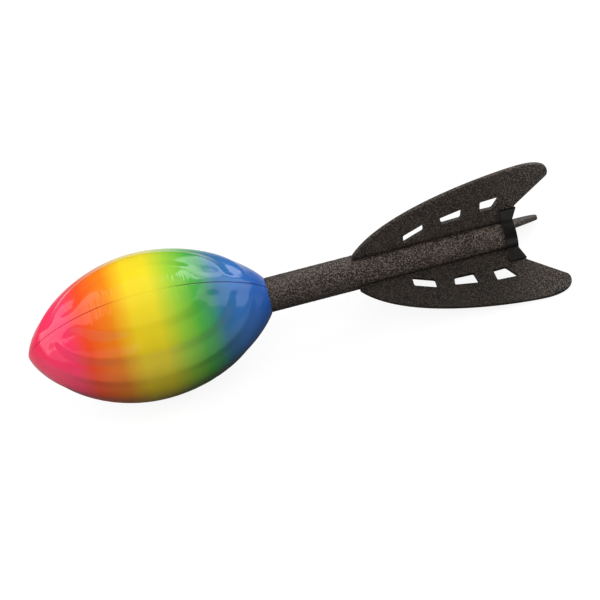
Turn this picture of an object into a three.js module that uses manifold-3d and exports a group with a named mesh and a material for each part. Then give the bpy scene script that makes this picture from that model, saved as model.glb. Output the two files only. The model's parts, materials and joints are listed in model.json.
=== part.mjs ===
// A throwing toy for javelin practice: a foam head shaped like a football in a glossy printed skin,
// a foam tube behind it stiffened by a plastic core tube, three slotted foam fins set in slits in
// the tube, and a plastic clip that closes the tail and grips the fins. It lies as it does on a
// floor, on its head and two of its fins, with the third fin up. Lengths are millimetres, +X runs
// from nose to tail and +Z is up.
import * as THREE from "three";
import { mergeVertices } from "three/addons/utils/BufferGeometryUtils.js";
import Module from "manifold-3d";

const wasm = await Module();
wasm.setup();

// Fits
const JOIN_GAP = 0.3; // between pieces that are pushed or glued together
const CUT_OVERRUN = 2; // how far a cutter runs past what it cuts

// Head
const HEAD_RADIUS = 44.8; // at its widest section
const HEAD_NOSE_LENGTH = 74.4; // from the widest section to the nose
const HEAD_TAIL_LENGTH = 78.3; // from the widest section to where the outline would close
const HEAD_TAPER_POWER = 0.69; // 0.5 would make both ends half an ellipse
const NECK_LIP = 0.85; // skin around the hole that the tube goes in
const SKIN_WALL = 1; // skin under the deepest part of a flute
const FLUTE_DEPTH = 0.9;
const FLUTES_ROUND = 16; // flutes around the middle of the head
const FLUTE_MIDDLE_X = -2.5; // the middle of the crests' pattern, from the widest section
const FLUTE_HALF_LENGTH = 74; // from there to where the last crest would end
const FLUTE_STEEPNESS = 3; // 2 would make each flute a parabola
const FLUTE_SEAM_SHARE = 0.3; // depth of the flute beside the seam
const FLUTE_MIDDLE_SHARE = 0.15; // depth in the middle of the head
const FLUTE_FULL_LATITUDE = THREE.MathUtils.degToRad(25); // where the flutes have their full depth
const SEAM_BAND = 1.5; // plain strip on each side of the parting seam
const SEAM_FADE = 8; // from the seam to where a flute has its full depth
const NECK_FADE = 7; // from the neck to where a flute has its full depth
const SEAM_TURN = THREE.MathUtils.degToRad(26.5); // of the parting seam from the upper fin
const SHAFT_SEAT = 25; // how deep the foam tube sits in the head
const CORE_TUBE_SEAT = 90; // how deep the core tube sits in the head

// Foam tube and core tube
const SHAFT_RADIUS = 10.65;
const SHAFT_BARE_LENGTH = 54.8; // from the neck to the fins
const CORE_TUBE_RADIUS = 5;
const CORE_TUBE_WALL = 1.5;

// Fins
const FIN_THICKNESS = 3.2;
const FIN_LENGTH = 124.2; // from the front of the root to the rearmost point
const FIN_ROOT_LENGTH = 99.5; // from the front of the root to the rear of the clip
const FIN_REACH = 36.2; // from the surface of the foam tube to the tip
const FIN_FRONT_HEIGHT = 2; // of the blunt front of the root
const FIN_EDGE_ROUND = 0.7;
const SLOT_CORNER_ROUND = 1;

// Tail clip
const CLIP_LENGTH = 7.6;
const CLIP_WALL = 1.3; // ring around the foam tube
const CLIP_END_WALL = 1.5;
const CLIP_CHEEK = 1.6; // on each side of a fin
const CLIP_ARM_REACH = 9; // from the surface of the foam tube to the end of an arm
const CLIP_ARM_SPLAY = 2.7; // how far back the end of an arm leans
const CLIP_SPIGOT_LENGTH = 10; // inside the core tube

// The fin's edge, as shares of FIN_LENGTH along it and of FIN_REACH out from the foam tube.
const LEADING_EDGE_SHARES = { firstPull: [0.19, 0.84], lastPull: [0.795, 1], end: [0.867, 1] };
const TIP_SHARES = { firstPull: [0.945, 1], lastPull: [1, 0.93], end: [1, 0.775] };
const REAR_CORNER_SHARES = { pull: [1, 0.7], end: [0.983, 0.665] };
// The corners of the three slots, on the same shares: lower front, upper front, upper rear, lower rear.
const SLOT_SHARES = [
  [[0.258, 0.065], [0.258, 0.214], [0.362, 0.346], [0.362, 0.202]],
  [[0.456, 0.251], [0.448, 0.381], [0.563, 0.45], [0.551, 0.263]],
  [[0.647, 0.306], [0.653, 0.489], [0.757, 0.509], [0.71, 0.3]],
];

// Print on the skin, as shares of the head's length from the nose
const SKIN_COLOUR_SHARES = [
  [0, 0xf0386e],
  [0.16, 0xee2f50],
  [0.3, 0xf26a1c],
  [0.45, 0xf2d423],
  [0.6, 0xa9c92a],
  [0.7, 0x45a83a],
  [0.82, 0x2f66b8],
  [1, 0x2a4fae],
];

// How finely round forms are divided
const SKIN_COLUMNS = 96;
const SKIN_ROWS = 34;
const LINING_COLUMNS = 32;
const LINING_ROWS = 16;
const TUBE_SEGMENTS = 40;
const EDGE_SEGMENTS = 16;
const SLOT_CORNER_SEGMENTS = 3;
const LEVELLING_STEPS = 10;

// Places worked out from the sizes. X is 0 at the head's widest section.
const NECK_RADIUS = SHAFT_RADIUS + NECK_LIP;
const NECK_X = HEAD_TAIL_LENGTH * Math.sqrt(1 - (NECK_RADIUS / HEAD_RADIUS) ** (1 / HEAD_TAPER_POWER));
const SKIN_INSET = SKIN_WALL + FLUTE_DEPTH;
const SHAFT_BORE_RADIUS = CORE_TUBE_RADIUS + JOIN_GAP;
const SOCKET_RADIUS = SHAFT_RADIUS + JOIN_GAP;
const SLIT_WIDTH = FIN_THICKNESS + 2 * JOIN_GAP;
const FIN_FRONT_X = NECK_X + SHAFT_BARE_LENGTH;
const CLIP_REAR_X = FIN_FRONT_X + FIN_ROOT_LENGTH;
const CLIP_FRONT_X = CLIP_REAR_X - CLIP_LENGTH;
const CLIP_INNER_X = CLIP_REAR_X - CLIP_END_WALL;
const SHAFT_REAR_X = CLIP_INNER_X - JOIN_GAP;
const CLIP_RING_RADIUS = SOCKET_RADIUS + CLIP_WALL;
const CLIP_ARM_RADIUS = SHAFT_RADIUS + CLIP_ARM_REACH;

// A closed geometry as a solid that can be joined and cut.
function toSolid(geometry) {
  geometry.deleteAttribute("normal");
  geometry.deleteAttribute("uv");
  const merged = mergeVertices(geometry);
  return new wasm.Manifold(new wasm.Mesh({
    numProp: 3,
    vertProperties: new Float32Array(merged.getAttribute("position").array),
    triVerts: new Uint32Array(merged.getIndex().array),
  }));
}

function toGeometry(solid) {
  const mesh = solid.getMesh();
  const geometry = new THREE.BufferGeometry();
  geometry.setAttribute("position", new THREE.BufferAttribute(mesh.vertProperties, mesh.numProp));
  geometry.setIndex(new THREE.BufferAttribute(mesh.triVerts, 1));
  geometry.computeVertexNormals();
  return geometry;
}

// A round bar on the X axis, or a tube where innerRadius isn't zero.
function roundBar(radius, innerRadius, startX, endX) {
  const profile = [
    new THREE.Vector2(innerRadius, startX),
    new THREE.Vector2(radius, startX),
    new THREE.Vector2(radius, endX),
    new THREE.Vector2(innerRadius, endX),
  ];
  if (innerRadius > 0) {
    profile.push(profile[0].clone());
  }
  return new THREE.LatheGeometry(profile, TUBE_SEGMENTS).rotateZ(-Math.PI / 2);
}

// A flat plate from an outline of (x, distance from the axis), centred on the XZ plane and turned
// about the X axis by turn.
function plate(shape, thickness, turn, edgeRound = 0) {
  const geometry = new THREE.ExtrudeGeometry(shape, {
    depth: thickness - 2 * edgeRound,
    curveSegments: EDGE_SEGMENTS,
    bevelEnabled: edgeRound > 0,
    bevelThickness: edgeRound,
    bevelSize: edgeRound,
    bevelOffset: -edgeRound,
    bevelSegments: 1,
  });
  return geometry.translate(0, 0, edgeRound - thickness / 2).rotateX(Math.PI / 2 + turn);
}

// The depth of the flutes at an angle from the seam. The crests between them lie inside one another
// like the rings of a leaf. In the middle they are evenly turned from the seam, and towards both
// ends each bends over to meet it: the cosine of its turn is a constant over the cosine of an eased
// latitude. A flute is flat between two crests and steep beside them. The flutes are shallower in
// the middle and beside the seam, and fade out at the seam and the neck.
function fluteDepth(radius, x, fromSeam) {
  const { smoothstep } = THREE.MathUtils;
  const latitude = Math.asin(Math.min(1, Math.abs(x - FLUTE_MIDDLE_X) / FLUTE_HALF_LENGTH));
  const eased = Math.PI / 2 * smoothstep(latitude, 0, Math.PI / 2);
  const crest = Math.acos(Math.cos(eased) * Math.abs(Math.cos(fromSeam)));
  const flute = crest / (2 * Math.PI / FLUTES_ROUND);
  const across = 1 - Math.abs(2 * (flute - Math.floor(flute)) - 1) ** FLUTE_STEEPNESS;
  const seamShare = flute < 1 ? FLUTE_SEAM_SHARE : 1;
  const fullness = smoothstep(latitude, 0, FLUTE_FULL_LATITUDE);
  const middleShare = FLUTE_MIDDLE_SHARE + (1 - FLUTE_MIDDLE_SHARE) * fullness;
  const seamFade = smoothstep(radius * Math.abs(Math.sin(fromSeam)), SEAM_BAND, SEAM_FADE);
  const neckFade = smoothstep(NECK_X - x, 0, NECK_FADE);
  return FLUTE_DEPTH * across * seamShare * middleShare * seamFade * neckFade;
}

// A football form inset evenly from the head's outline. Rows are spaced by an angle that is 0 at the
// nose and pi at the rear; the radius is the sine of that angle to twice the taper power.
function football(inset, columns, rows, fluted, endX) {
  const radius = HEAD_RADIUS - inset;
  const noseLength = HEAD_NOSE_LENGTH - inset;
  const tailLength = HEAD_TAIL_LENGTH - inset;
  const lastAngle = Math.acos(-endX / tailLength);
  const positions = [-noseLength, 0, 0];
  for (let row = 1; row <= rows; row += 1) {
    const angle = lastAngle * row / rows;
    const x = -Math.cos(angle) * (angle < Math.PI / 2 ? noseLength : tailLength);
    const round = radius * Math.sin(angle) ** (2 * HEAD_TAPER_POWER);
    for (let column = 0; column < columns; column += 1) {
      const turn = 2 * Math.PI * column / columns;
      const out = fluted ? round - fluteDepth(round, x, turn) : round;
      positions.push(x, -out * Math.sin(turn + SEAM_TURN), out * Math.cos(turn + SEAM_TURN));
    }
  }
  positions.push(endX, 0, 0);
  const at = (row, column) => 1 + (row - 1) * columns + column % columns;
  const rear = 1 + rows * columns;
  const index = [];
  for (let column = 0; column < columns; column += 1) {
    index.push(0, at(1, column + 1), at(1, column));
    for (let row = 1; row < rows; row += 1) {
      index.push(at(row, column), at(row, column + 1), at(row + 1, column + 1));
      index.push(at(row, column), at(row + 1, column + 1), at(row + 1, column));
    }
    index.push(at(rows, column), at(rows, column + 1), rear);
  }
  const geometry = new THREE.BufferGeometry();
  geometry.setAttribute("position", new THREE.BufferAttribute(new Float32Array(positions), 3));
  geometry.setIndex(index);
  return geometry;
}

// The form inside the skin stops just short of where its outline would close at the rear, well
// inside the socket that removes its end.
function lining(inset) {
  return football(inset, LINING_COLUMNS, LINING_ROWS, false, HEAD_TAIL_LENGTH - inset - FLUTE_DEPTH);
}

function shaftSocket() {
  return toSolid(roundBar(SOCKET_RADIUS, 0, NECK_X - SHAFT_SEAT - JOIN_GAP, HEAD_TAIL_LENGTH));
}

function skinGeometry() {
  const outside = toSolid(football(0, SKIN_COLUMNS, SKIN_ROWS, true, NECK_X));
  return toGeometry(outside.subtract(toSolid(lining(SKIN_INSET))).subtract(shaftSocket()));
}

function headCoreGeometry() {
  const tubeSocket = toSolid(roundBar(SHAFT_BORE_RADIUS, 0, NECK_X - CORE_TUBE_SEAT - JOIN_GAP, NECK_X));
  const foam = toSolid(lining(SKIN_INSET + JOIN_GAP));
  return toGeometry(foam.subtract(shaftSocket()).subtract(tubeSocket));
}

// Colours along the head, for the print on the skin.
function paintAlongHead(geometry) {
  const position = geometry.getAttribute("position");
  const colours = new Float32Array(position.count * position.itemSize);
  const headLength = HEAD_NOSE_LENGTH + NECK_X;
  for (let vertex = 0; vertex < position.count; vertex += 1) {
    const share = (position.getX(vertex) + HEAD_NOSE_LENGTH) / headLength;
    const next = Math.max(1, SKIN_COLOUR_SHARES.findIndex(([stop]) => stop >= share));
    const [lowStop, lowColour] = SKIN_COLOUR_SHARES[next - 1];
    const [highStop, highColour] = SKIN_COLOUR_SHARES[next];
    const mix = THREE.MathUtils.clamp((share - lowStop) / (highStop - lowStop), 0, 1);
    new THREE.Color(lowColour).lerp(new THREE.Color(highColour), mix).toArray(colours, 3 * vertex);
  }
  geometry.setAttribute("color", new THREE.BufferAttribute(colours, 3));
  return geometry;
}

// The foam tube, slit from its rear end for the three fins.
function shaftGeometry() {
  const slit = new THREE.Shape();
  slit.moveTo(FIN_FRONT_X - JOIN_GAP, 0);
  slit.lineTo(SHAFT_REAR_X + CUT_OVERRUN, 0);
  slit.lineTo(SHAFT_REAR_X + CUT_OVERRUN, SHAFT_RADIUS + CUT_OVERRUN);
  slit.lineTo(FIN_FRONT_X - JOIN_GAP, SHAFT_RADIUS + CUT_OVERRUN);
  let tube = toSolid(roundBar(SHAFT_RADIUS, SHAFT_BORE_RADIUS, NECK_X - SHAFT_SEAT, SHAFT_REAR_X));
  for (const turn of finTurns()) {
    tube = tube.subtract(toSolid(plate(slit, SLIT_WIDTH, turn)));
  }
  return toGeometry(tube);
}

function coreTubeGeometry() {
  const startX = NECK_X - CORE_TUBE_SEAT;
  return roundBar(CORE_TUBE_RADIUS, CORE_TUBE_RADIUS - CORE_TUBE_WALL, startX, SHAFT_REAR_X);
}

// The upper fin, then the one on the -Y side, then the one on the +Y side.
function finTurns() {
  return [0, 2 * Math.PI / 3, 4 * Math.PI / 3];
}

function finPoint([lengthShare, reachShare]) {
  return new THREE.Vector2(
    FIN_FRONT_X + lengthShare * FIN_LENGTH,
    SHAFT_RADIUS + reachShare * FIN_REACH,
  );
}

// A four-cornered hole, its corners rounded off by curves that start SLOT_CORNER_ROUND from them.
function roundedSlot(cornerShares) {
  const corners = cornerShares.map(finPoint);
  const points = corners.flatMap((corner, number) => {
    const before = corners[(number + corners.length - 1) % corners.length];
    const after = corners[(number + 1) % corners.length];
    const start = corner.clone().add(before.clone().sub(corner).setLength(SLOT_CORNER_ROUND));
    const end = corner.clone().add(after.clone().sub(corner).setLength(SLOT_CORNER_ROUND));
    return new THREE.QuadraticBezierCurve(start, corner, end).getPoints(SLOT_CORNER_SEGMENTS);
  });
  return new THREE.Path(points);
}

// One fin: a long curved leading edge, a round tip, a straight edge cut back to the clip, and a tab
// that fills the slit in the foam tube down to the core tube.
function finShape() {
  const leadingEnd = finPoint(LEADING_EDGE_SHARES.end);
  const leadingPulls = [LEADING_EDGE_SHARES.firstPull, LEADING_EDGE_SHARES.lastPull].map(finPoint);
  const tipEnd = finPoint(TIP_SHARES.end);
  const tipPulls = [TIP_SHARES.firstPull, TIP_SHARES.lastPull].map(finPoint);
  const cornerPull = finPoint(REAR_CORNER_SHARES.pull);
  const cornerEnd = finPoint(REAR_CORNER_SHARES.end);
  const shape = new THREE.Shape();
  shape.moveTo(FIN_FRONT_X, SHAFT_BORE_RADIUS);
  shape.lineTo(SHAFT_REAR_X, SHAFT_BORE_RADIUS);
  shape.lineTo(SHAFT_REAR_X, CLIP_RING_RADIUS + JOIN_GAP);
  shape.lineTo(CLIP_REAR_X, CLIP_RING_RADIUS + JOIN_GAP);
  shape.lineTo(CLIP_REAR_X + CLIP_ARM_SPLAY, CLIP_ARM_RADIUS);
  shape.lineTo(cornerEnd.x, cornerEnd.y);
  shape.quadraticCurveTo(cornerPull.x, cornerPull.y, tipEnd.x, tipEnd.y);
  shape.bezierCurveTo(
    tipPulls[1].x, tipPulls[1].y, tipPulls[0].x, tipPulls[0].y, leadingEnd.x, leadingEnd.y,
  );
  shape.bezierCurveTo(
    leadingPulls[1].x, leadingPulls[1].y, leadingPulls[0].x, leadingPulls[0].y,
    FIN_FRONT_X, SHAFT_RADIUS + FIN_FRONT_HEIGHT,
  );
  shape.holes = SLOT_SHARES.map(roundedSlot);
  return shape;
}

// One arm of the clip before its slot is cut: it leans back towards its end.
function clipArm(turn) {
  const shape = new THREE.Shape();
  shape.moveTo(CLIP_FRONT_X, 0);
  shape.lineTo(CLIP_REAR_X, 0);
  shape.lineTo(CLIP_REAR_X, CLIP_RING_RADIUS);
  shape.lineTo(CLIP_REAR_X + CLIP_ARM_SPLAY, CLIP_ARM_RADIUS);
  shape.lineTo(CLIP_FRONT_X, CLIP_ARM_RADIUS);
  return toSolid(plate(shape, SLIT_WIDTH + 2 * CLIP_CHEEK, turn));
}

// The slot for a fin: it stops at the end wall where it crosses the ring, and runs through outside it.
function clipSlot(turn) {
  const frontX = CLIP_FRONT_X - CUT_OVERRUN;
  const rearX = CLIP_REAR_X + CLIP_ARM_SPLAY + CUT_OVERRUN;
  const shape = new THREE.Shape();
  shape.moveTo(frontX, SHAFT_BORE_RADIUS);
  shape.lineTo(CLIP_INNER_X, SHAFT_BORE_RADIUS);
  shape.lineTo(CLIP_INNER_X, CLIP_RING_RADIUS);
  shape.lineTo(rearX, CLIP_RING_RADIUS);
  shape.lineTo(rearX, CLIP_ARM_RADIUS + CUT_OVERRUN);
  shape.lineTo(frontX, CLIP_ARM_RADIUS + CUT_OVERRUN);
  return toSolid(plate(shape, SLIT_WIDTH, turn));
}

// A cap over the tail with a slotted arm on each fin's root and a spigot in the core tube.
function clipGeometry() {
  let clip = toSolid(roundBar(CLIP_RING_RADIUS, 0, CLIP_FRONT_X, CLIP_REAR_X));
  for (const turn of finTurns()) {
    clip = clip.add(clipArm(turn));
  }
  clip = clip.subtract(toSolid(roundBar(SOCKET_RADIUS, 0, CLIP_FRONT_X - CUT_OVERRUN, CLIP_INNER_X)));
  for (const turn of finTurns()) {
    clip = clip.subtract(clipSlot(turn));
  }
  const spigotRadius = CORE_TUBE_RADIUS - CORE_TUBE_WALL - JOIN_GAP;
  const spigotStart = CLIP_INNER_X - CLIP_SPIGOT_LENGTH;
  return toGeometry(clip.add(toSolid(roundBar(spigotRadius, 0, spigotStart, CLIP_REAR_X))));
}

function addMesh(parent, name, geometry, look) {
  const mesh = new THREE.Mesh(geometry, new THREE.MeshStandardMaterial({ metalness: 0, ...look }));
  mesh.name = name;
  parent.add(mesh);
  return mesh;
}

function buildHead() {
  const head = new THREE.Group();
  addMesh(head, "head_core", headCoreGeometry(), { color: 0xd9c9a0, roughness: 0.9 });
  const print = { color: 0xffffff, vertexColors: true, roughness: 0.15 };
  addMesh(head, "head_skin", paintAlongHead(skinGeometry()), print);
  return head;
}

function buildTail() {
  const tail = new THREE.Group();
  const foam = { color: 0x37322f, roughness: 0.85 };
  addMesh(tail, "core_tube", coreTubeGeometry(), { color: 0xd8d8d4, roughness: 0.5 });
  addMesh(tail, "shaft_tube", shaftGeometry(), foam);
  const finNames = ["fin_upper", "fin_near", "fin_far"];
  finTurns().forEach((turn, number) => {
    const geometry = plate(finShape(), FIN_THICKNESS, turn, FIN_EDGE_ROUND);
    addMesh(tail, finNames[number], geometry, foam);
  });
  addMesh(tail, "tail_clip", clipGeometry(), { color: 0x161616, roughness: 0.25 });
  return tail;
}

// The lowest point of a group when its tail end dips by tilt.
function lowestPoint(group, tilt) {
  let lowest = null;
  let least = Infinity;
  group.children.forEach((mesh) => {
    const position = mesh.geometry.getAttribute("position");
    for (let vertex = 0; vertex < position.count; vertex += 1) {
      const height = position.getZ(vertex) * Math.cos(tilt) - position.getX(vertex) * Math.sin(tilt);
      if (height < least) {
        least = height;
        lowest = { x: position.getX(vertex), z: position.getZ(vertex) };
      }
    }
  });
  return lowest;
}

// How far the tail dips when the head and the lower fins both touch the floor.
function restingTilt(head, tail) {
  let tilt = 0;
  for (let step = 0; step < LEVELLING_STEPS; step += 1) {
    const headPoint = lowestPoint(head, tilt);
    const tailPoint = lowestPoint(tail, tilt);
    tilt = Math.atan2(tailPoint.z - headPoint.z, tailPoint.x - headPoint.x);
  }
  return tilt;
}

// The toy at rest, with the middle of its box over the origin and its lowest point on the floor.
function layOnFloor(head, tail) {
  const toy = new THREE.Group();
  toy.add(head, tail);
  toy.rotation.y = restingTilt(head, tail);
  toy.updateMatrixWorld(true);
  const box = new THREE.Box3().setFromObject(toy, true);
  const middle = box.getCenter(new THREE.Vector3());
  toy.position.set(-middle.x, -middle.y, -box.min.z);
  const rest = new THREE.Group();
  rest.add(toy);
  return rest;
}

export default layOnFloor(buildHead(), buildTail());
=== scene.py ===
# The looks of a foam throwing toy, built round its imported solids: a head shaped like a football
# in a glossy rainbow skin, a foam tube slit for three slotted foam fins, and a glossy clip on its
# tail. Shapes are worked out in the toy's own frame, in millimetres: x runs along its axis from
# nose to tail and is 0 at the head's widest section, side points away from the viewer, and rise
# points to the upper fin. A turn about the axis starts at the upper fin and goes towards the
# viewer.
import json
import math

import bmesh
import bpy
import numpy as np
from mathutils import Matrix, Vector, geometry


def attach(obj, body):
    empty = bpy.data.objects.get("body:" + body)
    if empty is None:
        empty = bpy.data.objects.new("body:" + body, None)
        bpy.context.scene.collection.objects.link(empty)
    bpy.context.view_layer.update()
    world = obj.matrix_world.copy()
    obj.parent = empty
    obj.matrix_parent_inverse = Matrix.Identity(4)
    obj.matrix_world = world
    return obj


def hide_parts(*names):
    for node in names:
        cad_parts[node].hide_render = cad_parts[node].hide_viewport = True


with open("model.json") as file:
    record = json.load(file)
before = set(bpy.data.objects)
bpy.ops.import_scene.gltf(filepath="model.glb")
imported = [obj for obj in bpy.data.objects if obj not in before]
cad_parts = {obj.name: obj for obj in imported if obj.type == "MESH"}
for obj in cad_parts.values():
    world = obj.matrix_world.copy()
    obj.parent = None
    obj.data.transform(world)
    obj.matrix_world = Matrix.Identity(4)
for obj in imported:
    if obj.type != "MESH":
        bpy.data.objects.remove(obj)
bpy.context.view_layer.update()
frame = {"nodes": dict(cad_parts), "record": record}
MM = 0.001

# Camera: where it aims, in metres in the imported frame, and how it stands to that point
AIM = Vector((0.00022, -0.00619, 0.03216))
CAMERA_DISTANCE = 1.2022
CAMERA_AZIMUTH = math.radians(2.0)
CAMERA_ELEVATION = math.radians(38.264)
CAMERA_ROLL = math.radians(-17.229)
CAMERA_LENS = 120
CAMERA_SENSOR = 36

# Softboxes: azimuth and elevation in degrees, distance, width and height in metres, radiance, and
# whether a gloss mirrors them
SOFTBOXES = {
    "ceiling": (0, 85, 1.2, 1.0, 1.0, 0.45, True),
    "front top": (180, 56, 1.3, 1.6, 0.8, 2.5, False),
    "nose side": (-73, 33, 1.0, 0.92, 0.95, 2.0, True),
    "nose end": (-90, 10, 1.0, 0.8, 0.5, 1.6, False),
    "nose low": (-128, 15, 1.0, 1.4, 0.4, 0.8, True),
    "tail side": (91, 31, 1.0, 1.0, 0.7, 1.8, True),
    "behind tail": (38, 29, 1.1, 0.56, 0.5, 3.4, True),
    "above tail": (52, 50, 1.1, 0.4, 0.2, 6.0, True),
}
WORLD_STRENGTH = 0.04

# Studio floor, in metres
FLOOR_HALF_SIZE = 12.0
FLOOR_GLOW = 0.9
FLOOR_PAINT = 0.14
FLOOR_DIM_PAINT = 0.03  # for the light that the floor throws on to the toy
SHUT_IN_REACH = 0.3  # how far round a point the toy can shut it in
SHUT_IN_SAMPLES = 8
OPENNESS_EDGES = (0.7, 1.15)  # where the floor is shut in, and where it is open
FAR_EDGES = (0.12, 0.6)  # from the toy's middle, where it starts to turn grey, and is full grey
FAR_SHADE = 0.8

# Head moulding, in millimetres
HEAD_NOSE_LENGTH = 74.4
HEAD_TAIL_LENGTH = 78.3
HEAD_TAPER_POWER = 0.69
SKIN_WALL = 1.9
LIP_BULGE_SHARE = 0.5  # of half the lip's thickness
LIP_ANGLES = np.radians([35.0, 70.0, 110.0, 145.0])  # of its rows, from the outside to the socket
HEAD_COLUMNS = 600
HEAD_ROWS = 140
LINING_ROWS = 14
COLUMN_CROWDING = 0.8  # of the columns towards the seam: 0 spaces them evenly

# Flutes, in millimetres
FLUTE_DEPTH = 1.4
FLUTES_ROUND = 16
FLUTE_MIDDLE_X = -2.5
FLUTE_HALF_LENGTH = 74.0
FLUTE_LOWEST = 0.36  # of its width, from its inner crest to where it is deepest
FLUTE_POWER = 1.25
FLUTE_MIDDLE_SHARE = 0.2  # of its depth, in the middle of the head
FLUTE_FULL_LATITUDE = math.radians(30)
FLUTE_FAR_START = 1.5  # counted in flutes from the seam
FLUTE_FAR_SHARE = 0.42  # of its depth, for the flute that is farthest from the seam
NECK_FADE = 4.5
NOSE_FADE = 20.0

# Parting seam, in millimetres
SEAM_TURN = math.radians(26.5)
SEAM_BAND = 2.5
SEAM_FADE = 9.0
GROOVE_DEPTH = 0.25
GROOVE_WIDTH = 0.25
GROOVE_FAINT_SHARE = 0.1  # of its depth, in the middle of the head
GROOVE_FAINT_ENDS = (8, 26)  # from the middle, where it starts to deepen and where it is full

# Foam tube and fins, in millimetres
JOIN_GAP = 0.3
TOLERANCE = 0.001  # between two workings of the same place
SAME_POINT = 1e-6  # nearer points of a fin's face count as one
THIRD_TURN = 2 * math.pi / 3
FIN_TURNS = [0.0, THIRD_TURN, 2 * THIRD_TURN]
FIN_NAMES = ["fin_upper", "fin_near", "fin_far"]
FIN_FRONT_HEIGHT = 2.0
FIN_RIM_ROUND = 0.9
SLOT_RIM_ROUND = 0.35
SLOT_CORNER_ROUND = 1.0
RIM_STEPS = 5
SLOT_CORNER_STEPS = 6
SLOT_SIDE_STEPS = 10
FIN_POINT_SPACING = 0.75
FIN_EDGE_GAP_SHARE = 0.6  # of that spacing, between a face's own points and its edges
FIN_SHARP_ANGLE = math.radians(50)
TUBE_ROW_SPACING = 0.45
TUBE_HIDDEN_ROWS = 3
TUBE_HIDDEN_MARGIN = 1.0  # inside the neck, where the even rows start
TUBE_SHARP_ANGLE = math.radians(55)
SLIT_STEPS = 5
SECTOR_STEPS = 44

# The fin's edge and its slots, as shares of its length along it and of its reach from the tube
LEADING_EDGE_SHARES = [(0.19, 0.84), (0.795, 1.0), (0.867, 1.0)]
TIP_SHARES = [(0.945, 1.0), (1.0, 0.93), (1.0, 0.775)]
REAR_CORNER_SHARES = [(1.0, 0.7), (0.983, 0.665)]
SLOT_SHARES = [
    [(0.258, 0.065), (0.258, 0.214), (0.362, 0.346), (0.362, 0.202)],
    [(0.456, 0.251), (0.448, 0.381), (0.563, 0.45), (0.551, 0.263)],
    [(0.647, 0.306), (0.653, 0.489), (0.757, 0.509), (0.71, 0.3)],
]

# Foam's grain in the mesh, in millimetres
GRAIN_SIZE = 1.5
GRAIN_DEPTH = 0.07
FIN_GRAIN_DEPTH = 0.6 * GRAIN_DEPTH
FINE_GRAIN_SHARE = 0.6  # of the coarse grain's height, for lumps of half its size
GRAIN_CUT = 1.4  # the height above which lumps are level
GRAIN_DEEPEST = 3  # in grain depths
GRAIN_WAVES = 40
GRAIN_SPREAD = (0.65, 1.35)  # how many times as fine as the size says its waves are
GRAIN_SEED = 7
FIN_SEED_STEP = 10

# How pale the foam is painted, from 0 to 1, and where that changes, in millimetres: painted light
# and shade
TUBE_FRONT_PALENESS = 0.82
FIN_PALENESS = [(0.45, 1.0), (0.0, 0.52), (0.3, 0.8)]  # at each fin's front and rear: painted light and shade, the near fin darkest where the upper fin shades it, and each paler to the rear, a painted sheen
# painted shade in the creases beside the fins and along their roots
CREASE_WIDTH = 2.2
CREASE_START = 1.0  # in front of the slits and behind, where the painted shade of the creases starts
# painted sheen towards the fins' rears
SHEEN_LENGTH = 50

# Clip, in millimetres
CLIP_STEP_MARGIN = 1.0  # behind the tube, where the fin is sure to lie on the clip
CLIP_MERGE_DISTANCE = 0.005
CLIP_FLAT_ANGLE = math.radians(1)
CLIP_SHARP_ANGLE = math.radians(35)
CLIP_EDGE_ROUND = 0.3
CLIP_EDGE_STEPS = 3

# The printed colours, by the share of the head's length from the nose
PRINT_SHARES = [
    (0.00, "d8284a"),
    (0.08, "f73560"),
    (0.18, "fb3c66"),
    (0.25, "f54e26"),
    (0.36, "f5861a"),
    (0.45, "f8d828"),
    (0.54, "f2df2c"),
    (0.63, "9ed43e"),
    (0.70, "5aba46"),
    (0.75, "479f66"),
    (0.80, "3c7ba6"),
    (0.87, "3c79c4"),
    (1.00, "2f62bc"),
]

# How strongly the parting line shows, by the same share: least in the yellow middle
LINE_SHARES = [(0.0, 0.5), (0.3, 0.75), (0.44, 0.12), (0.6, 0.08), (0.68, 0.8), (1.0, 0.9)]

# Where the skin has wrinkled across the seam, by the same share: each band's start, full stretch
# and end
WRINKLE_SHARES = [(0.24, 0.33, 0.38, 0.43), (0.52, 0.58, 0.66, 0.70)]

# Printed skin, in millimetres
PRINT_MOTTLE_SIZE = 9.0
PRINT_MOTTLE_SHARE = 0.012  # of the head's length, by which it shifts the print
LINE_EDGES = (0.1, 0.45)  # from the seam, where the line is full and where it is gone
LINE_TINT = "b04a78"  # multiplies the print
WRINKLE_SIZE = 1.3
WRINKLE_STRETCH = (1.0, 0.07, 0.07)  # of the noise's places, so that wrinkles run round the head
WRINKLE_EDGES = (5.0, 12.0)  # from the seam, where wrinkles are full and where they are gone
WRINKLE_DEPTH = 0.45
RIPPLE_SIZE = 14.0
RIPPLE_DEPTH = 0.25

# Tail foam, in millimetres
SPECK_SIZE = 0.85
SPECK_EDGES = (0.45, 0.63)  # of its noise: below is dark foam, and above is a speck
PATCH_SIZE = 14
PATCH_EDGES = (0.35, 0.7)  # of its noise: above, dark foam and specks are partly evened out
PATCH_SHARE = 0.3
FINE_PIT_SIZE = 0.5
FINE_PIT_SHARE = 0.4
FOAM_BUMP_DEPTH = 0.6
# Each pair is for foam that isn't pale at all, as in the painted shade of the creases, and for the
# palest, as in the painted sheen at the rears
FOAM_BUMP_SHARES = (0.25, 1.0)
FOAM_ROUGHNESS = (0.68, 0.48)
FOAM_DARK = ("080706", "161311")
FOAM_SPECK = ("40372f", "7b6d64")

# Clip plastic, in millimetres: each pair is for the low and the high end of its flow marks
FLOW_MARK_SIZE = 5
FLOW_MARK_DEPTH = 0.05
CLIP_ROUGHNESS = (0.22, 0.34)
CLIP_COLOURS = ("110f0e", "1d1a18")

# Core foam, in millimetres: its colours are those of its cells' middles and of their walls
CELL_SIZE = 1.2
CELL_EDGES = (0.1, 0.7)
CELL_DEPTH = 0.3
CORE_FOAM_COLOURS = ("d8c690", "efe2b8")

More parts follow.
